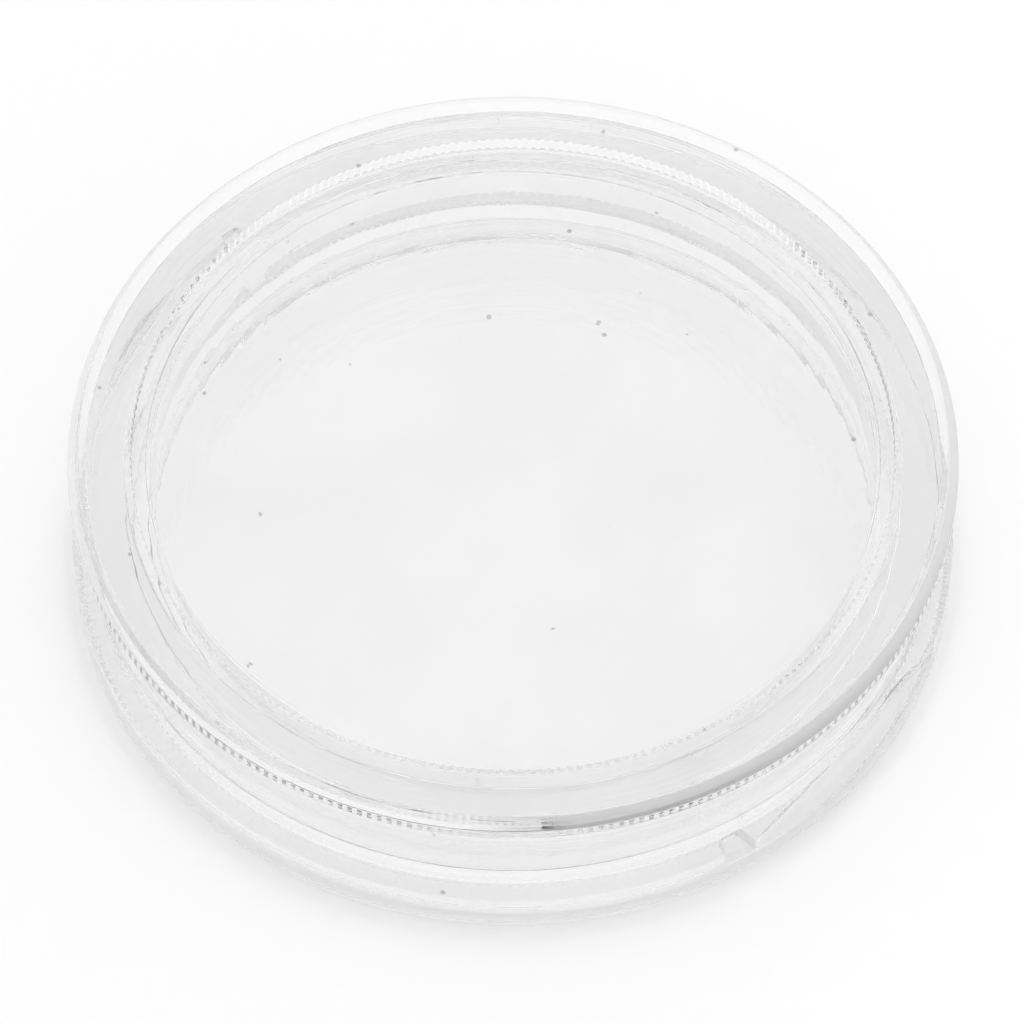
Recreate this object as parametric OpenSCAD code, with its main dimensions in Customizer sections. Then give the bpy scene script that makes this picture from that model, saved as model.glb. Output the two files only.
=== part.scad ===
// Round coin capsule of two clear shells: a lid with a downward skirt, and a base with a coin pocket.
// The skirt slips over the pocket's wall. Millimetres, +Z up, origin at the centre of the foot.

/* [Coin] */
// Diameter of the pocket that holds the coin
pocket_d = 26.1; // [24:0.1:26.2]
// Clear height of the closed pocket
pocket_h = 4.25; // [3:0.05:4.3]

/* [Outside] */
// Widest diameter, the same on the lid and on the base
outer_d = 32; // [31.8:0.1:34]
// Overall height, closed
overall_h = 6.95; // [6.9:0.05:8]
// Diameter of the skirt, set back between the lid's lip and the base's flange
skirt_d = 30.7; // [30.3:0.1:31]
// Height of the lip round the lid
lip_h = 0.9; // [0.7:0.1:1.2]
// Width of the bevel at the top and the bottom edge
bevel_w = 0.32; // [0.2:0.01:0.6]
// Height of the bevel at the top and the bottom edge
bevel_h = 0.43; // [0.2:0.01:0.6]

/* [Window] */
// Diameter of the recess in the outer face of each shell, inside the raised rim
rim_inner_d = 27.5; // [27:0.1:28.5]
// Diameter of the clear window in the middle of the recess
window_d = 26.4; // [25.8:0.1:26.8]
// Depth of the recess below the rim
recess_h = 0.5; // [0.3:0.05:0.6]
// Extra depth of the window below the floor of the recess
window_step = 0.08; // [0.04:0.01:0.12]

/* [Fit] */
// Outside diameter of the pocket's wall, which the skirt slips over
plug_d = 27.9; // [27.6:0.1:29]
// Radial clearance between the pocket's wall and the skirt
fit_gap = 0.05; // [0.02:0.01:0.1]
// Gap left at the seam and above the pocket's wall
seam_gap = 0.05; // [0.03:0.01:0.1]
// Height of the base's flange, where the seam lies
flange_h = 1.95; // [1.6:0.05:2.6]
// Thickness of the lid's window
window_t = 0.82; // [0.6:0.02:1]

/* [Pry recesses] */
// Distance from the axis to the flat side of each pry recess
pry_flat = 15.1; // [14.9:0.05:15.3]
// Depth of each pry recess below the seam
pry_h = 0.65; // [0.4:0.05:1]
// Width of the notch at one end of each pry recess
notch_w = 1.3; // [0.8:0.1:2]
// Direction of the middle of the first pry recess, in degrees
pry_angle_a = -38; // [-60:1:-20]
// Direction of the middle of the second pry recess, in degrees
pry_angle_b = 154; // [120:1:170]

/* [Hidden] */
$fn = 128;
past = 0.5;
outer_r = outer_d / 2;
rim_r = outer_r - bevel_w;
skirt_r = skirt_d / 2;
plug_r = plug_d / 2;
socket_r = plug_r + fit_gap;
pocket_r = pocket_d / 2;
recess_r = rim_inner_d / 2;
window_r = window_d / 2;
lid_underside = overall_h - recess_h - window_step - window_t;
pocket_floor = lid_underside - pocket_h;
plug_top = lid_underside - seam_gap;
skirt_end = flange_h + seam_gap;
pry_half_angle = acos(pry_flat / outer_r);

// Outline of the lid, from the axis outwards over the top and back along the underside
module lid_outline() {
    polygon([
        [0, overall_h - recess_h - window_step],
        [window_r, overall_h - recess_h - window_step],
        [window_r, overall_h - recess_h],
        [recess_r, overall_h - recess_h],
        [recess_r, overall_h],
        [rim_r, overall_h],
        [outer_r, overall_h - bevel_h],
        [outer_r, overall_h - lip_h],
        [skirt_r, overall_h - lip_h],
        [skirt_r, skirt_end],
        [socket_r, skirt_end],
        [socket_r, lid_underside],
        [0, lid_underside]
    ]);
}

// Outline of the base, from the axis outwards under the foot and back over the pocket's wall
module base_outline() {
    polygon([
        [0, recess_h + window_step],
        [window_r, recess_h + window_step],
        [window_r, recess_h],
        [recess_r, recess_h],
        [recess_r, 0],
        [rim_r, 0],
        [outer_r, bevel_h],
        [outer_r, flange_h],
        [plug_r, flange_h],
        [plug_r, plug_top],
        [pocket_r, plug_top],
        [pocket_r, pocket_floor],
        [0, pocket_floor]
    ]);
}

// Room that a fingernail needs under the skirt: a flat-sided cut in the flange with a notch at one end
module pry_cut() {
    cut_h = pry_h + past;
    translate([pry_flat, -outer_r, flange_h - pry_h]) cube([outer_r, 2 * outer_r, cut_h]);
    rotate([0, 0, -pry_half_angle]) {
        translate([pry_flat, -notch_w, flange_h - pry_h]) cube([outer_r - pry_flat + past, notch_w, cut_h]);
    }
}

// Upper shell: recessed window, raised rim with a bevelled lip, and the skirt
module lid() {
    color([0.88, 0.92, 0.95, 0.35]) {
        rotate_extrude() lid_outline();
    }
}

// Lower shell: foot ring, flange with two pry recesses, and the pocket that the coin lies in
module base() {
    color([0.82, 0.87, 0.92, 0.35]) {
        difference() {
            rotate_extrude() base_outline();
            for (angle = [pry_angle_a, pry_angle_b]) {
                rotate([0, 0, angle]) pry_cut();
            }
        }
    }
}

base();
lid();
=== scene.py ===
import math

import bmesh
import bpy
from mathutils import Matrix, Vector


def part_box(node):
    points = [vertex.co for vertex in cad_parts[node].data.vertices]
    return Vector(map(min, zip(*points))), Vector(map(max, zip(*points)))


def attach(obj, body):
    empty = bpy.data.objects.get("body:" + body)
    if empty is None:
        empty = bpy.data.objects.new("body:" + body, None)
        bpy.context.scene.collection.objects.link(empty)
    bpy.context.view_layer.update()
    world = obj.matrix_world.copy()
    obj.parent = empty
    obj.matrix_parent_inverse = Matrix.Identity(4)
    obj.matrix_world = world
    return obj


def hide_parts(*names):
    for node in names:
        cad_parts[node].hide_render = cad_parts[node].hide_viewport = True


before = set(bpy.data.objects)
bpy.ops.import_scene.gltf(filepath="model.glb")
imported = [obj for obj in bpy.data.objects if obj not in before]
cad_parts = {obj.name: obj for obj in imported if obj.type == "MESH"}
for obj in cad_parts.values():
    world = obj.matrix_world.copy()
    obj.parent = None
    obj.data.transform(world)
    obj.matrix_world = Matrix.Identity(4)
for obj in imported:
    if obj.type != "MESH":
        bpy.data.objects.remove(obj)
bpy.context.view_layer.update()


# Lid ---------------------------------------------------------------------------------------------
# The upper shell: one moulding of clear polystyrene, a round window set a little below a raised rim,
# with a bevelled lip outside and a long skirt that slips down over the base's pocket wall.
# The upright wall inside the rim carries the fine grooves that the turned mould leaves.

MM = 0.001
lid_low, lid_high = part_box("lid")
capsule_top = lid_high.z / MM
outer_r = lid_high.x / MM
skirt_end = lid_low.z / MM
bevel_w = 0.32
bevel_h = 0.43
rim_r = outer_r - bevel_w
lip_h = 0.9
skirt_r = 15.35
socket_r = 14.0
recess_r = 13.75
recess_h = 0.5
window_r = 13.2
window_step = 0.08
window_t = 0.82
lid_underside = capsule_top - recess_h - window_step - window_t

# Rounding that the mould leaves at the outer edges, and the sharper inside corners
EDGE = 0.05
CORNER = 0.03
# Grooves round the recess wall: how many, how deep, and the segments of the sweep for each
GROOVES = 257
GROOVE_SEGMENTS = 4
GROOVE_DEPTH = 0.05
ROUNDING_STEPS = 3
SHARP_ABOVE = math.radians(10)
# Points closer than this, in metres, are one point
SAME_POINT = 0.0002 * MM


def link(tree, output, target):
    """Joins an output to an input socket, or sets the input when a plain value is given."""
    if isinstance(output, bpy.types.NodeSocket):
        tree.links.new(output, target)
    else:
        target.default_value = output


def maths(tree, operation, *values):
    """A Math node with its inputs joined or set; returns its output."""
    node = tree.nodes.new("ShaderNodeMath")
    node.operation = operation
    for socket, value in zip(node.inputs, values):
        link(tree, value, socket)
    return node.outputs[0]


def ramp(tree, value, start, end, low, high):
    """A Map Range that eases from low to high as the value goes from start to end."""
    node = tree.nodes.new("ShaderNodeMapRange")
    node.interpolation_type = "SMOOTHSTEP"
    labels = ("Value", "From Min", "From Max", "To Min", "To Max")
    for label, given in zip(labels, (value, start, end, low, high)):
        link(tree, given, node.inputs[label])
    return node.outputs[0]


def stored(tree, name):
    """Reads a number that was stored on the section's points."""
    node = tree.nodes.new("GeometryNodeInputNamedAttribute")
    node.data_type = "FLOAT"
    node.inputs["Name"].default_value = name
    return node.outputs["Attribute"]


def lathe_inputs(tree):
    """Names the lathe's inputs and gives each a default; returns them as the tree's own outputs."""
    tree.interface.new_socket("Geometry", in_out="INPUT", socket_type="NodeSocketGeometry")
    for name in ("Rail radius", "Groove depth", "Serration depth", "Serration lean", "Pry flat",
                 "Pry half angle", "Notch angle", "Pry angle 1", "Pry angle 2", "Flat bevel angle",
                 "Flat bevel half angle", "Flat bevel depth", "Flat bevel matt"):
        tree.interface.new_socket(name, in_out="INPUT", socket_type="NodeSocketFloat").default_value = 0.0
    for name in ("Grooves", "Segments per groove", "Rounding steps"):
        tree.interface.new_socket(name, in_out="INPUT", socket_type="NodeSocketInt").default_value = 3
    tree.interface.new_socket("Plastic", in_out="INPUT", socket_type="NodeSocketMaterial")
    tree.interface.new_socket("Geometry", in_out="OUTPUT", socket_type="NodeSocketGeometry")
    return tree.nodes.new("NodeGroupInput").outputs


def swept_section(tree, given):
    """Rounds the section's corners and sweeps it round the axis; returns the swept mesh."""
    section = tree.nodes.new("GeometryNodeMeshToCurve")
    link(tree, given["Geometry"], section.inputs["Mesh"])
    rounded = tree.nodes.new("GeometryNodeFilletCurve")
    rounded.mode = "POLY"
    rounded.inputs["Limit Radius"].default_value = True
    link(tree, section.outputs["Curve"], rounded.inputs["Curve"])
    link(tree, given["Rounding steps"], rounded.inputs["Count"])
    link(tree, stored(tree, "rounding"), rounded.inputs["Radius"])
    rail = tree.nodes.new("GeometryNodeCurvePrimitiveCircle")
    rail.mode = "RADIUS"
    segments = maths(tree, "MULTIPLY", given["Grooves"], given["Segments per groove"])
    link(tree, segments, rail.inputs["Resolution"])
    link(tree, given["Rail radius"], rail.inputs["Radius"])
    sweep = tree.nodes.new("GeometryNodeCurveToMesh")
    link(tree, rail.outputs["Curve"], sweep.inputs["Curve"])
    link(tree, rounded.outputs["Curve"], sweep.inputs["Profile Curve"])
    return sweep.outputs["Mesh"]


# Angle over which each side of a notch slopes, in radians
NOTCH_SIDE = 0.02
# The least cosine for which the chord of a recess is worked out
CHORD_LIMIT = 0.1


def held_back(tree, given, radius, angle):
    """The radius left where the two pry recesses flatten the flange, with a notch at one end of each."""
    left = radius
    for name in ("Pry angle 1", "Pry angle 2"):
        turned = maths(tree, "WRAP", maths(tree, "SUBTRACT", angle, given[name]), math.pi, -math.pi)
        # The flat is a chord; far round the ring it lies outside the flange and takes nothing away
        towards = maths(tree, "MAXIMUM", maths(tree, "COSINE", turned), CHORD_LIMIT)
        left = maths(tree, "MINIMUM", left, maths(tree, "DIVIDE", given["Pry flat"], towards))
        past_end = maths(tree, "ADD", turned, given["Pry half angle"])
        # The notch's two sides slope, each over a third of a millimetre
        notch_start = maths(tree, "MULTIPLY", given["Notch angle"], -1.0)
        full_depth = maths(tree, "ADD", notch_start, NOTCH_SIDE)
        inside = maths(tree, "MULTIPLY", ramp(tree, past_end, -NOTCH_SIDE, 0.0, 1.0, 0.0),
                       ramp(tree, past_end, notch_start, full_depth, 0.0, 1.0))
        depth = maths(tree, "MULTIPLY", inside, maths(tree, "SUBTRACT", left, given["Pry flat"]))
        left = maths(tree, "SUBTRACT", left, maths(tree, "MAXIMUM", depth, 0.0))
    return left


# A recess that takes away more than this, in metres, leaves a cut face
CUT_SHOWS = 0.002 * MM
# Half the angle over which the bevel changes from one finish to the other, in radians
STRETCH_FADE = 0.06


def turned_shell():
    """Geometry Nodes lathe: turns a section into a shell and cuts its grooves, serrations and recesses."""
    tree = bpy.data.node_groups.new("turned_shell", "GeometryNodeTree")
    given = lathe_inputs(tree)
    swept = swept_section(tree, given)

    # Polar place of every point, from which the grooves and the pry recesses are worked out
    place = tree.nodes.new("GeometryNodeInputPosition")
    axes = tree.nodes.new("ShaderNodeSeparateXYZ")
    link(tree, place.outputs["Position"], axes.inputs[0])
    x_squared = maths(tree, "MULTIPLY", axes.outputs[0], axes.outputs[0])
    y_squared = maths(tree, "MULTIPLY", axes.outputs[1], axes.outputs[1])
    radius = maths(tree, "SQRT", maths(tree, "ADD", x_squared, y_squared))
    angle = maths(tree, "ARCTAN2", axes.outputs[1], axes.outputs[0])

    # Serrations lean, because their outer ends lie a share of a groove further round the ring
    leaning = maths(tree, "MULTIPLY", given["Serration lean"], stored(tree, "leaning"))
    turns = maths(tree, "MULTIPLY", maths(tree, "DIVIDE", angle, math.tau), given["Grooves"])
    turns = maths(tree, "SUBTRACT", turns, leaning)
    wave = maths(tree, "MULTIPLY", maths(tree, "PINGPONG", turns, 0.5), 2.0)
    groove_depth = maths(tree, "MULTIPLY", wave, given["Groove depth"])
    groove = maths(tree, "MULTIPLY", groove_depth, stored(tree, "grooved"))
    # Along one stretch the bevel is flatter, because its upper edge stands a little further in
    from_middle = maths(tree, "SUBTRACT", angle, given["Flat bevel angle"])
    from_middle = maths(tree, "ABSOLUTE", maths(tree, "WRAP", from_middle, math.pi, -math.pi))
    past_stretch = maths(tree, "SUBTRACT", from_middle, given["Flat bevel half angle"])
    in_stretch = ramp(tree, past_stretch, -STRETCH_FADE, STRETCH_FADE, 1.0, 0.0)
    on_edge = maths(tree, "MULTIPLY", in_stretch, stored(tree, "bevel_edge"))
    flatter = maths(tree, "MULTIPLY", on_edge, given["Flat bevel depth"])
    cut = maths(tree, "SUBTRACT", maths(tree, "SUBTRACT", radius, groove), flatter)
    above = stored(tree, "above_ledge")
    taken = maths(tree, "MULTIPLY", maths(tree, "SUBTRACT", cut, held_back(tree, given, cut, angle)), above)
    new_radius = maths(tree, "SUBTRACT", cut, taken)
    # The cut faces of the recesses are matt, and so are the bevels, but for the flatter stretch
    cut_face = maths(tree, "GREATER_THAN", taken, CUT_SHOWS)
    bevel_matt = ramp(tree, past_stretch, -STRETCH_FADE, STRETCH_FADE, given["Flat bevel matt"], 1.0)
    bevel_face = maths(tree, "MULTIPLY", stored(tree, "matt_ring"), bevel_matt)

    # Serrations are cut downwards, and stop at the recesses
    serration = maths(tree, "MULTIPLY", maths(tree, "MULTIPLY", wave, given["Serration depth"]),
                      stored(tree, "serrated"))
    serration = maths(tree, "MULTIPLY", serration, maths(tree, "SUBTRACT", 1.0, cut_face))

    moved = tree.nodes.new("ShaderNodeCombineXYZ")
    link(tree, maths(tree, "MULTIPLY", new_radius, maths(tree, "COSINE", angle)), moved.inputs[0])
    link(tree, maths(tree, "MULTIPLY", new_radius, maths(tree, "SINE", angle)), moved.inputs[1])
    link(tree, maths(tree, "SUBTRACT", axes.outputs[2], serration), moved.inputs[2])
    shaped = tree.nodes.new("GeometryNodeSetPosition")
    link(tree, swept, shaped.inputs["Geometry"])
    link(tree, moved.outputs[0], shaped.inputs["Position"])

    marked = tree.nodes.new("GeometryNodeStoreNamedAttribute")
    marked.data_type = "FLOAT"
    marked.domain = "POINT"
    marked.inputs["Name"].default_value = "matt"
    link(tree, maths(tree, "MAXIMUM", cut_face, bevel_face), marked.inputs["Value"])
    link(tree, shaped.outputs["Geometry"], marked.inputs["Geometry"])

    merged = tree.nodes.new("GeometryNodeMergeByDistance")
    merged.inputs["Distance"].default_value = SAME_POINT
    link(tree, marked.outputs["Geometry"], merged.inputs["Geometry"])
    real = tree.nodes.new("GeometryNodeRealizeInstances")
    link(tree, merged.outputs["Geometry"], real.inputs["Geometry"])
    coated = tree.nodes.new("GeometryNodeSetMaterial")
    link(tree, real.outputs["Geometry"], coated.inputs["Geometry"])
    link(tree, given["Plastic"], coated.inputs["Material"])
    link(tree, coated.outputs["Geometry"], tree.nodes.new("NodeGroupOutput").inputs[0])
    return tree


# What the section says of each of its corners, besides its place
RING_MARKS = ("rounding", "grooved", "serrated", "leaning", "above_ledge", "bevel_edge", "matt_ring")


def corner(r, z, rounding=0.0, **marks):
    """One point of a shell's section, in millimetres, with what the lathe does to its ring."""
    return {"place": (r, z), **dict.fromkeys(RING_MARKS, 0.0), "rounding": rounding * MM, **marks}


def section_line(name, corners):
    """The half section of a shell as a line of points from the axis round to the axis again."""
    mesh = bpy.data.meshes.new(name)
    # The sweep lays a section's X outwards from the rail and its Y downwards
    places = [((r - outer_r) * MM, -z * MM, 0.0) for r, z in (point["place"] for point in corners)]
    mesh.from_pydata(places, [(i, i + 1) for i in range(len(corners) - 1)], [])
    for label in RING_MARKS:
        values = [point[label] for point in corners]
        mesh.attributes.new(label, "FLOAT", "POINT").data.foreach_set("value", values)
    piece = bpy.data.objects.new(name, mesh)
    bpy.context.scene.collection.objects.link(piece)
    return piece


def turn(piece, tree, settings):
    """Runs the lathe on a section and leaves a plain closed mesh with outward faces."""
    modifier = piece.modifiers.new("lathe", "NODES")
    modifier.node_group = tree
    sockets = {item.name: item.identifier for item in tree.interface.items_tree if item.in_out == "INPUT"}
    for label, value in settings.items():
        modifier[sockets[label]] = value
    graph = bpy.context.evaluated_depsgraph_get()
    mesh = bpy.data.meshes.new_from_object(piece.evaluated_get(graph))
    piece.modifiers.remove(modifier)
    section = piece.data
    piece.data = mesh
    bpy.data.meshes.remove(section)
    work = bmesh.new()
    work.from_mesh(mesh)
    bmesh.ops.remove_doubles(work, verts=work.verts, dist=SAME_POINT)
    bmesh.ops.dissolve_degenerate(work, edges=work.edges, dist=SAME_POINT / 2)
    bmesh.ops.recalc_face_normals(work, faces=work.faces)
    for face in work.faces:
        face.smooth = True
    for edge in work.edges:
        edge.smooth = len(edge.link_faces) == 2 and edge.calc_face_angle(0.0) < SHARP_ABOVE
    work.to_mesh(mesh)
    work.free()
    return piece


def noise(tree, place, scale, detail):
    """Noise on the piece's own coordinates; the scale is in cycles to the metre."""
    node = tree.nodes.new("ShaderNodeTexNoise")
    node.inputs["Scale"].default_value = scale
    node.inputs["Detail"].default_value = detail
    link(tree, place, node.inputs["Vector"])
    return node.outputs[0]


def stretched(tree, place, scale, turn_z=0.0):
    """The piece's own coordinates, turned and stretched."""
    node = tree.nodes.new("ShaderNodeMapping")
    node.inputs["Scale"].default_value = scale
    node.inputs["Rotation"].default_value = (0.0, 0.0, turn_z)
    link(tree, place, node.inputs["Vector"])
    return node.outputs[0]


def relief(tree, height, depth, under=None):
    """A Bump of the given depth in metres, laid over another one."""
    node = tree.nodes.new("ShaderNodeBump")
    node.inputs["Strength"].default_value = 1.0
    node.inputs["Distance"].default_value = depth
    link(tree, height, node.inputs["Height"])
    if under is not None:
        link(tree, under, node.inputs["Normal"])
    return node.outputs[0]


def blend_colours(tree, share, first, second):
    """Mixes two colours; each is a socket or a plain colour."""
    node = tree.nodes.new("ShaderNodeMix")
    node.data_type = "RGBA"
    link(tree, share, node.inputs[0])
    link(tree, first, node.inputs[6])
    link(tree, second, node.inputs[7])
    return node.outputs[2]


def clear_plastic(name, shift):
    """Clear polystyrene: a faint cloudy tint, moulding waves, tool marks, hair scratches and dust."""
    material = bpy.data.materials.new(name)
    material.use_nodes = True
    tree = material.node_tree
    surface = tree.nodes["Principled BSDF"]
    surface.inputs["Transmission Weight"].default_value = 1.0
    surface.inputs["IOR"].default_value = 1.59
    own = tree.nodes.new("ShaderNodeTexCoord").outputs["Object"]
    moved = tree.nodes.new("ShaderNodeMapping")
    moved.inputs["Location"].default_value = shift
    link(tree, own, moved.inputs["Vector"])
    place = moved.outputs[0]

    # Cloudy tint, with dust specks a tenth of a millimetre across on a few spots
    CLEAREST = (0.975, 0.975, 0.976, 1.0)
    CLOUDIEST = (0.959, 0.959, 0.961, 1.0)
    DUST = (0.35, 0.33, 0.31, 1.0)
    DUST_PER_METRE = 330
    DUST_R = 0.07 * MM
    DUST_SOFT = 1.6
    CLOUDS_PER_METRE = 160
    cloud = ramp(tree, noise(tree, place, CLOUDS_PER_METRE, 3), 0.35, 0.65, 0.0, 1.0)
    tint = blend_colours(tree, cloud, CLEAREST, CLOUDIEST)
    spots = tree.nodes.new("ShaderNodeTexVoronoi")
    spots.inputs["Scale"].default_value = DUST_PER_METRE
    link(tree, place, spots.inputs["Vector"])
    speck_edge = DUST_PER_METRE * DUST_R
    speck = ramp(tree, spots.outputs["Distance"], speck_edge, speck_edge * DUST_SOFT, 1.0, 0.0)
    link(tree, blend_colours(tree, speck, tint, DUST), surface.inputs["Base Color"])

    # Hair scratches, crossing at two slants, and the matt faces, which scatter a little light
    SCRATCHED = 0.16
    MATT = 0.5
    SCRATCHES_PER_METRE = 5200
    SCRATCH_STRETCH = (1.0, 0.03, 1.0)
    scratch = 0.0
    for slant in (0.5, 2.1):
        lines = noise(tree, stretched(tree, place, SCRATCH_STRETCH, slant), SCRATCHES_PER_METRE, 1)
        scratch = maths(tree, "MAXIMUM", scratch, ramp(tree, lines, 0.71, 0.76, 0.0, 1.0))
    matt = tree.nodes.new("ShaderNodeAttribute")
    matt.attribute_name = "matt"
    roughness = maths(tree, "MAXIMUM", maths(tree, "MULTIPLY", scratch, SCRATCHED),
                      maths(tree, "MULTIPLY", matt.outputs["Fac"], MATT))
    link(tree, roughness, surface.inputs["Roughness"])

    # Moulding waves a few millimetres long, lines round the walls, and turning marks
    WAVES_PER_METRE = 230
    WAVE_DEPTH = 0.012 * MM
    WALL_LINES_PER_METRE = 3600
    WALL_LINE_DEPTH = 0.004 * MM
    WALL_LINE_WANDER = 0.4 * MM
    TURNING_MARKS_PER_METRE = 1100
    TURNING_MARK_DEPTH = 0.0008 * MM
    waves = relief(tree, noise(tree, place, WAVES_PER_METRE, 1), WAVE_DEPTH)
    own_axes = tree.nodes.new("ShaderNodeSeparateXYZ")
    link(tree, own, own_axes.inputs[0])
    x_squared = maths(tree, "MULTIPLY", own_axes.outputs[0], own_axes.outputs[0])
    y_squared = maths(tree, "MULTIPLY", own_axes.outputs[1], own_axes.outputs[1])
    from_axis = maths(tree, "SQRT", maths(tree, "ADD", x_squared, y_squared))
    lines = tree.nodes.new("ShaderNodeCombineXYZ")
    for axis in (0, 1):
        share = maths(tree, "DIVIDE", own_axes.outputs[axis], from_axis)
        link(tree, maths(tree, "MULTIPLY", share, WALL_LINE_WANDER), lines.inputs[axis])
    link(tree, own_axes.outputs[2], lines.inputs[2])
    wall_lines = noise(tree, lines.outputs[0], WALL_LINES_PER_METRE, 2)
    drawn = relief(tree, wall_lines, WALL_LINE_DEPTH, waves)
    marks = tree.nodes.new("ShaderNodeTexWave")
    marks.wave_type = "RINGS"
    marks.rings_direction = "Z"
    marks.inputs["Scale"].default_value = TURNING_MARKS_PER_METRE
    marks.inputs["Distortion"].default_value = 3.0
    marks.inputs["Detail"].default_value = 0.0
    marks.inputs["Detail Scale"].default_value = 0.4
    link(tree, own, marks.inputs["Vector"])
    turned = relief(tree, marks.outputs["Fac"], TURNING_MARK_DEPTH, drawn)
    link(tree, turned, surface.inputs["Normal"])
    return material


lathe = turned_shell()
shell_settings = {
    "Rail radius": outer_r * MM,
    "Grooves": GROOVES,
    "Segments per groove": GROOVE_SEGMENTS,
    "Groove depth": GROOVE_DEPTH * MM,
    "Rounding steps": ROUNDING_STEPS,
}

# Width over which a matt face fades into a polished one
MATT_FADE = 0.1

lid_line = section_line("lid_shell", [
    corner(0, capsule_top - recess_h - window_step),
    corner(window_r, capsule_top - recess_h - window_step, CORNER),
    corner(window_r, capsule_top - recess_h, CORNER),
    corner(recess_r, capsule_top - recess_h, grooved=1),
    corner(recess_r, capsule_top, grooved=1),
    corner(rim_r - MATT_FADE, capsule_top),
    corner(rim_r, capsule_top, EDGE, bevel_edge=1, matt_ring=1),
    corner(outer_r, capsule_top - bevel_h, EDGE, matt_ring=1),
    corner(outer_r, capsule_top - bevel_h - MATT_FADE),
    corner(outer_r, capsule_top - lip_h, EDGE),
    corner(skirt_r, capsule_top - lip_h, CORNER),
    corner(skirt_r, skirt_end, CORNER),
    corner(socket_r, skirt_end, CORNER),
    corner(socket_r, lid_underside, CORNER),
    corner(0, lid_underside),
])
lid_plastic = clear_plastic("clear_polystyrene_lid", (0.0, 0.0, 0.0))

# The flatter stretch of the lid's bevel: its middle, half its length, how much flatter, how matt
flat_bevel_angle = math.radians(-142)
flat_bevel_half_angle = math.radians(57)
flat_bevel_depth = 0.06
flat_bevel_matt = 0.1
lid_shell = turn(lid_line, lathe, {
    **shell_settings,
    "Flat bevel angle": flat_bevel_angle,
    "Flat bevel half angle": flat_bevel_half_angle,
    "Flat bevel depth": flat_bevel_depth * MM,
    "Flat bevel matt": flat_bevel_matt,
    "Plastic": lid_plastic,
})
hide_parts("lid")
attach(lid_shell, "lid")


# Base --------------------------------------------------------------------------------------------
# The lower shell: the same plastic, with a foot ring that repeats the lid's rim, a flange that the
# skirt stops above, and the round pocket that the coin lies in. The strip of flange left outside the
# skirt is finely serrated, and two pry recesses in it let a fingernail under the skirt.

base_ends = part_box("base")
plug_top = base_ends[1].z / MM
plug_r = 13.95
pocket_r = 13.05
pocket_floor = 1.3
flange_h = 1.95
serrated_from = skirt_r + 0.06
serration_depth = 0.06
serration_run_out = 0.05
serration_lean = 0.25
pry_flat = 15.1
pry_h = 0.65
pry_ledge = flange_h - pry_h
ledge_step = 0.0005
pry_half_angle = math.acos(pry_flat / outer_r)
notch_w = 1.3
pry_angles = (math.radians(-38), math.radians(154))

base_line = section_line("base_shell", [
    corner(0, recess_h + window_step),
    corner(window_r, recess_h + window_step, CORNER),
    corner(window_r, recess_h, CORNER),
    corner(recess_r, recess_h, CORNER),
    corner(recess_r, MATT_FADE),
    corner(recess_r, 0, EDGE, matt_ring=1),
    corner(rim_r, 0, EDGE, matt_ring=1),
    corner(outer_r, bevel_h, EDGE, matt_ring=1),
    corner(outer_r, bevel_h + MATT_FADE),
    corner(outer_r, pry_ledge),
    corner(outer_r, pry_ledge + ledge_step, above_ledge=1),
    corner(outer_r, flange_h, serrated=1, leaning=1, above_ledge=1),
    corner(serrated_from, flange_h, serrated=1, above_ledge=1),
    corner(serrated_from - serration_run_out, flange_h, above_ledge=1),
    corner(plug_r, flange_h, CORNER),
    corner(plug_r, plug_top, EDGE),
    corner(pocket_r, plug_top, EDGE),
    corner(pocket_r, pocket_floor, CORNER),
    corner(0, pocket_floor),
])
base_plastic = clear_plastic("clear_polystyrene_base", (0.21, 0.13, 0.07))
base_shell = turn(base_line, lathe, {
    **shell_settings,
    "Serration depth": serration_depth * MM,
    "Serration lean": serration_lean,
    "Flat bevel matt": 1.0,
    "Pry flat": pry_flat * MM,
    "Pry half angle": pry_half_angle,
    "Notch angle": math.asin(notch_w / outer_r),
    "Pry angle 1": pry_angles[0],
    "Pry angle 2": pry_angles[1],
    "Plastic": base_plastic,
})
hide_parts("base")
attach(base_shell, "base")


# Table -------------------------------------------------------------------------------------------
# A plain white table. It lies a hair below the foot ring, so that light reaches the plastic from
# underneath as it does on paper.

TABLE_SIDE = 2.0
TABLE_GAP = 0.1 * MM
TABLE_WHITE = (0.96, 0.96, 0.96, 1.0)
TABLE_ROUGHNESS = 0.9
bpy.ops.mesh.primitive_plane_add(size=TABLE_SIDE, location=(0, 0, -TABLE_GAP))
table = bpy.context.object
table.name = "table"
paint = bpy.data.materials.new("white_table")
paint.use_nodes = True
paint_surface = paint.node_tree.nodes["Principled BSDF"]
paint_surface.inputs["Base Color"].default_value = TABLE_WHITE
paint_surface.inputs["Roughness"].default_value = TABLE_ROUGHNESS
table.data.materials.append(paint)


# Light -------------------------------------------------------------------------------------------
# A light tent: a soft panel overhead, pale walls, and a room beyond that is darker to the left of
# the tent's open front than to the right of it.

scene = bpy.context.scene
world = bpy.data.worlds.new("light_tent")
scene.world = world
world.use_nodes = True
tent = world.node_tree
towards = tent.nodes.new("ShaderNodeSeparateXYZ")
link(tent, tent.nodes.new("ShaderNodeTexCoord").outputs["Generated"], towards.inputs[0])
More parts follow.
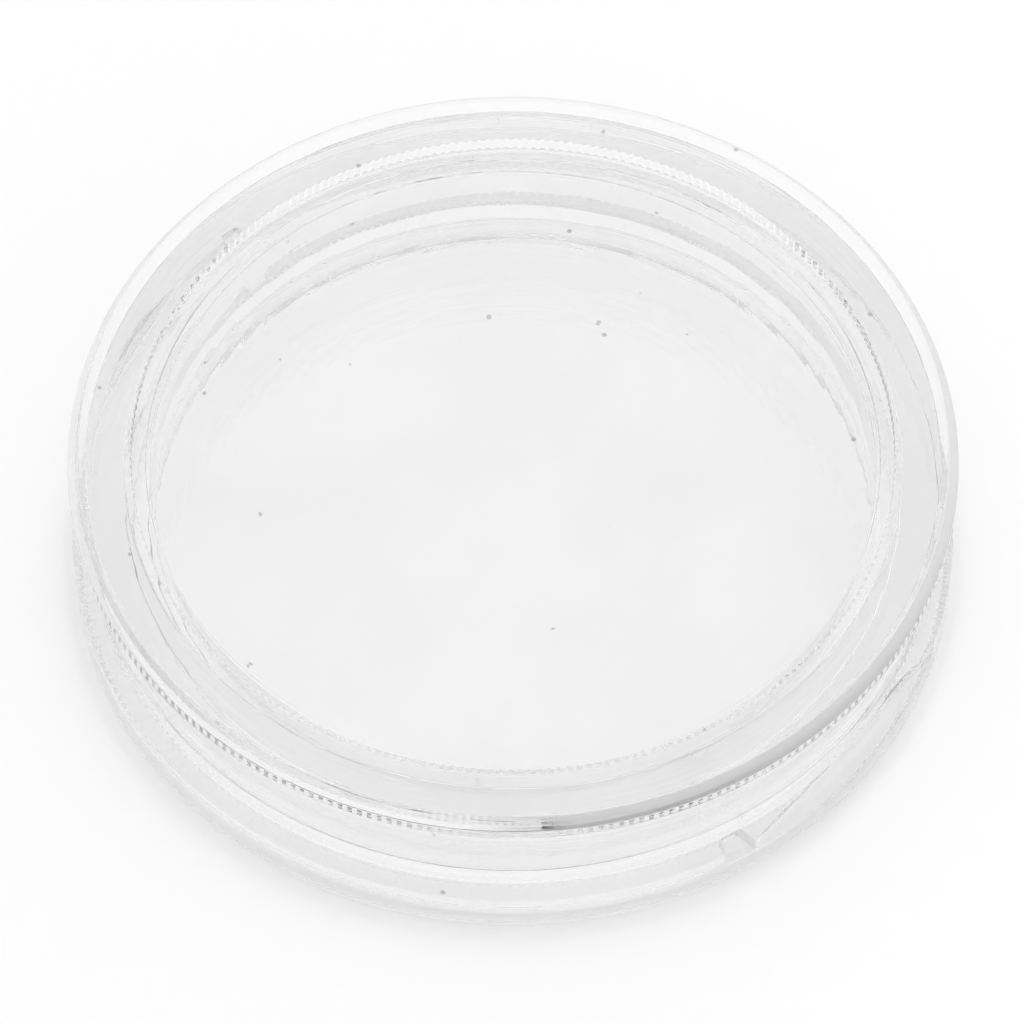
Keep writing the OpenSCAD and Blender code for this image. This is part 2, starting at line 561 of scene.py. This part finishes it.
# Brightness of each part, and where one part gives way to the next: across, and by height
ROOM_LEFT = 0.30
ROOM_RIGHT = 1.0
WALL = 1.0
PANEL = 0.6
ROOM_EDGE = 0.08
WALL_FOOT, WALL_FULL = 0.15, 0.6
PANEL_EDGE, PANEL_FULL = 0.86, 0.97
room = ramp(tent, towards.outputs[0], -ROOM_EDGE, ROOM_EDGE, ROOM_LEFT, ROOM_RIGHT)
walls = ramp(tent, towards.outputs[2], WALL_FOOT, WALL_FULL, room, WALL)
panel = ramp(tent, towards.outputs[2], PANEL_EDGE, PANEL_FULL, 0.0, PANEL)
tent.nodes["Background"].inputs["Color"].default_value = (1, 1, 1, 1)
link(tent, maths(tent, "ADD", walls, panel), tent.nodes["Background"].inputs["Strength"])


# Camera ------------------------------------------------------------------------------------------
# It looks down at the front of the capsule from above, with a long lens.

VIEW_ELEVATION = math.radians(55.5)
VIEW_DISTANCE = 20 * rim_r * MM
# The rim's radius as a share of the frame's width, and how far its centre lies from the frame's
# middle as shares of that radius
RIM_SHARE = 0.42676
RIM_LEFT_OF_MIDDLE = -0.00229
RIM_ABOVE_MIDDLE = 0.14874
SENSOR_WIDTH = 36.0
camera_data = bpy.data.cameras.new("camera")
camera = bpy.data.objects.new("camera", camera_data)
scene.collection.objects.link(camera)
away = Vector((0, -math.cos(VIEW_ELEVATION), math.sin(VIEW_ELEVATION)))
right = Vector((1, 0, 0))
up = right.cross(-away)
lid_centre = Vector((0, 0, capsule_top * MM))
camera.location = lid_centre + away * VIEW_DISTANCE
camera_data.sensor_width = SENSOR_WIDTH
camera_data.lens = camera_data.sensor_width * RIM_SHARE * VIEW_DISTANCE / (rim_r * MM)
aim = -away * VIEW_DISTANCE + (right * RIM_LEFT_OF_MIDDLE - up * RIM_ABOVE_MIDDLE) * rim_r * MM
camera.rotation_euler = aim.to_track_quat("-Z", "Y").to_euler()
scene.camera = camera

# Clear plastic needs many bounces, and light that comes through it kept sharp
scene.view_settings.view_transform = "Standard"
scene.cycles.blur_glossy = 0
scene.cycles.max_bounces = 32
scene.cycles.transmission_bounces = 32
scene.cycles.glossy_bounces = 32
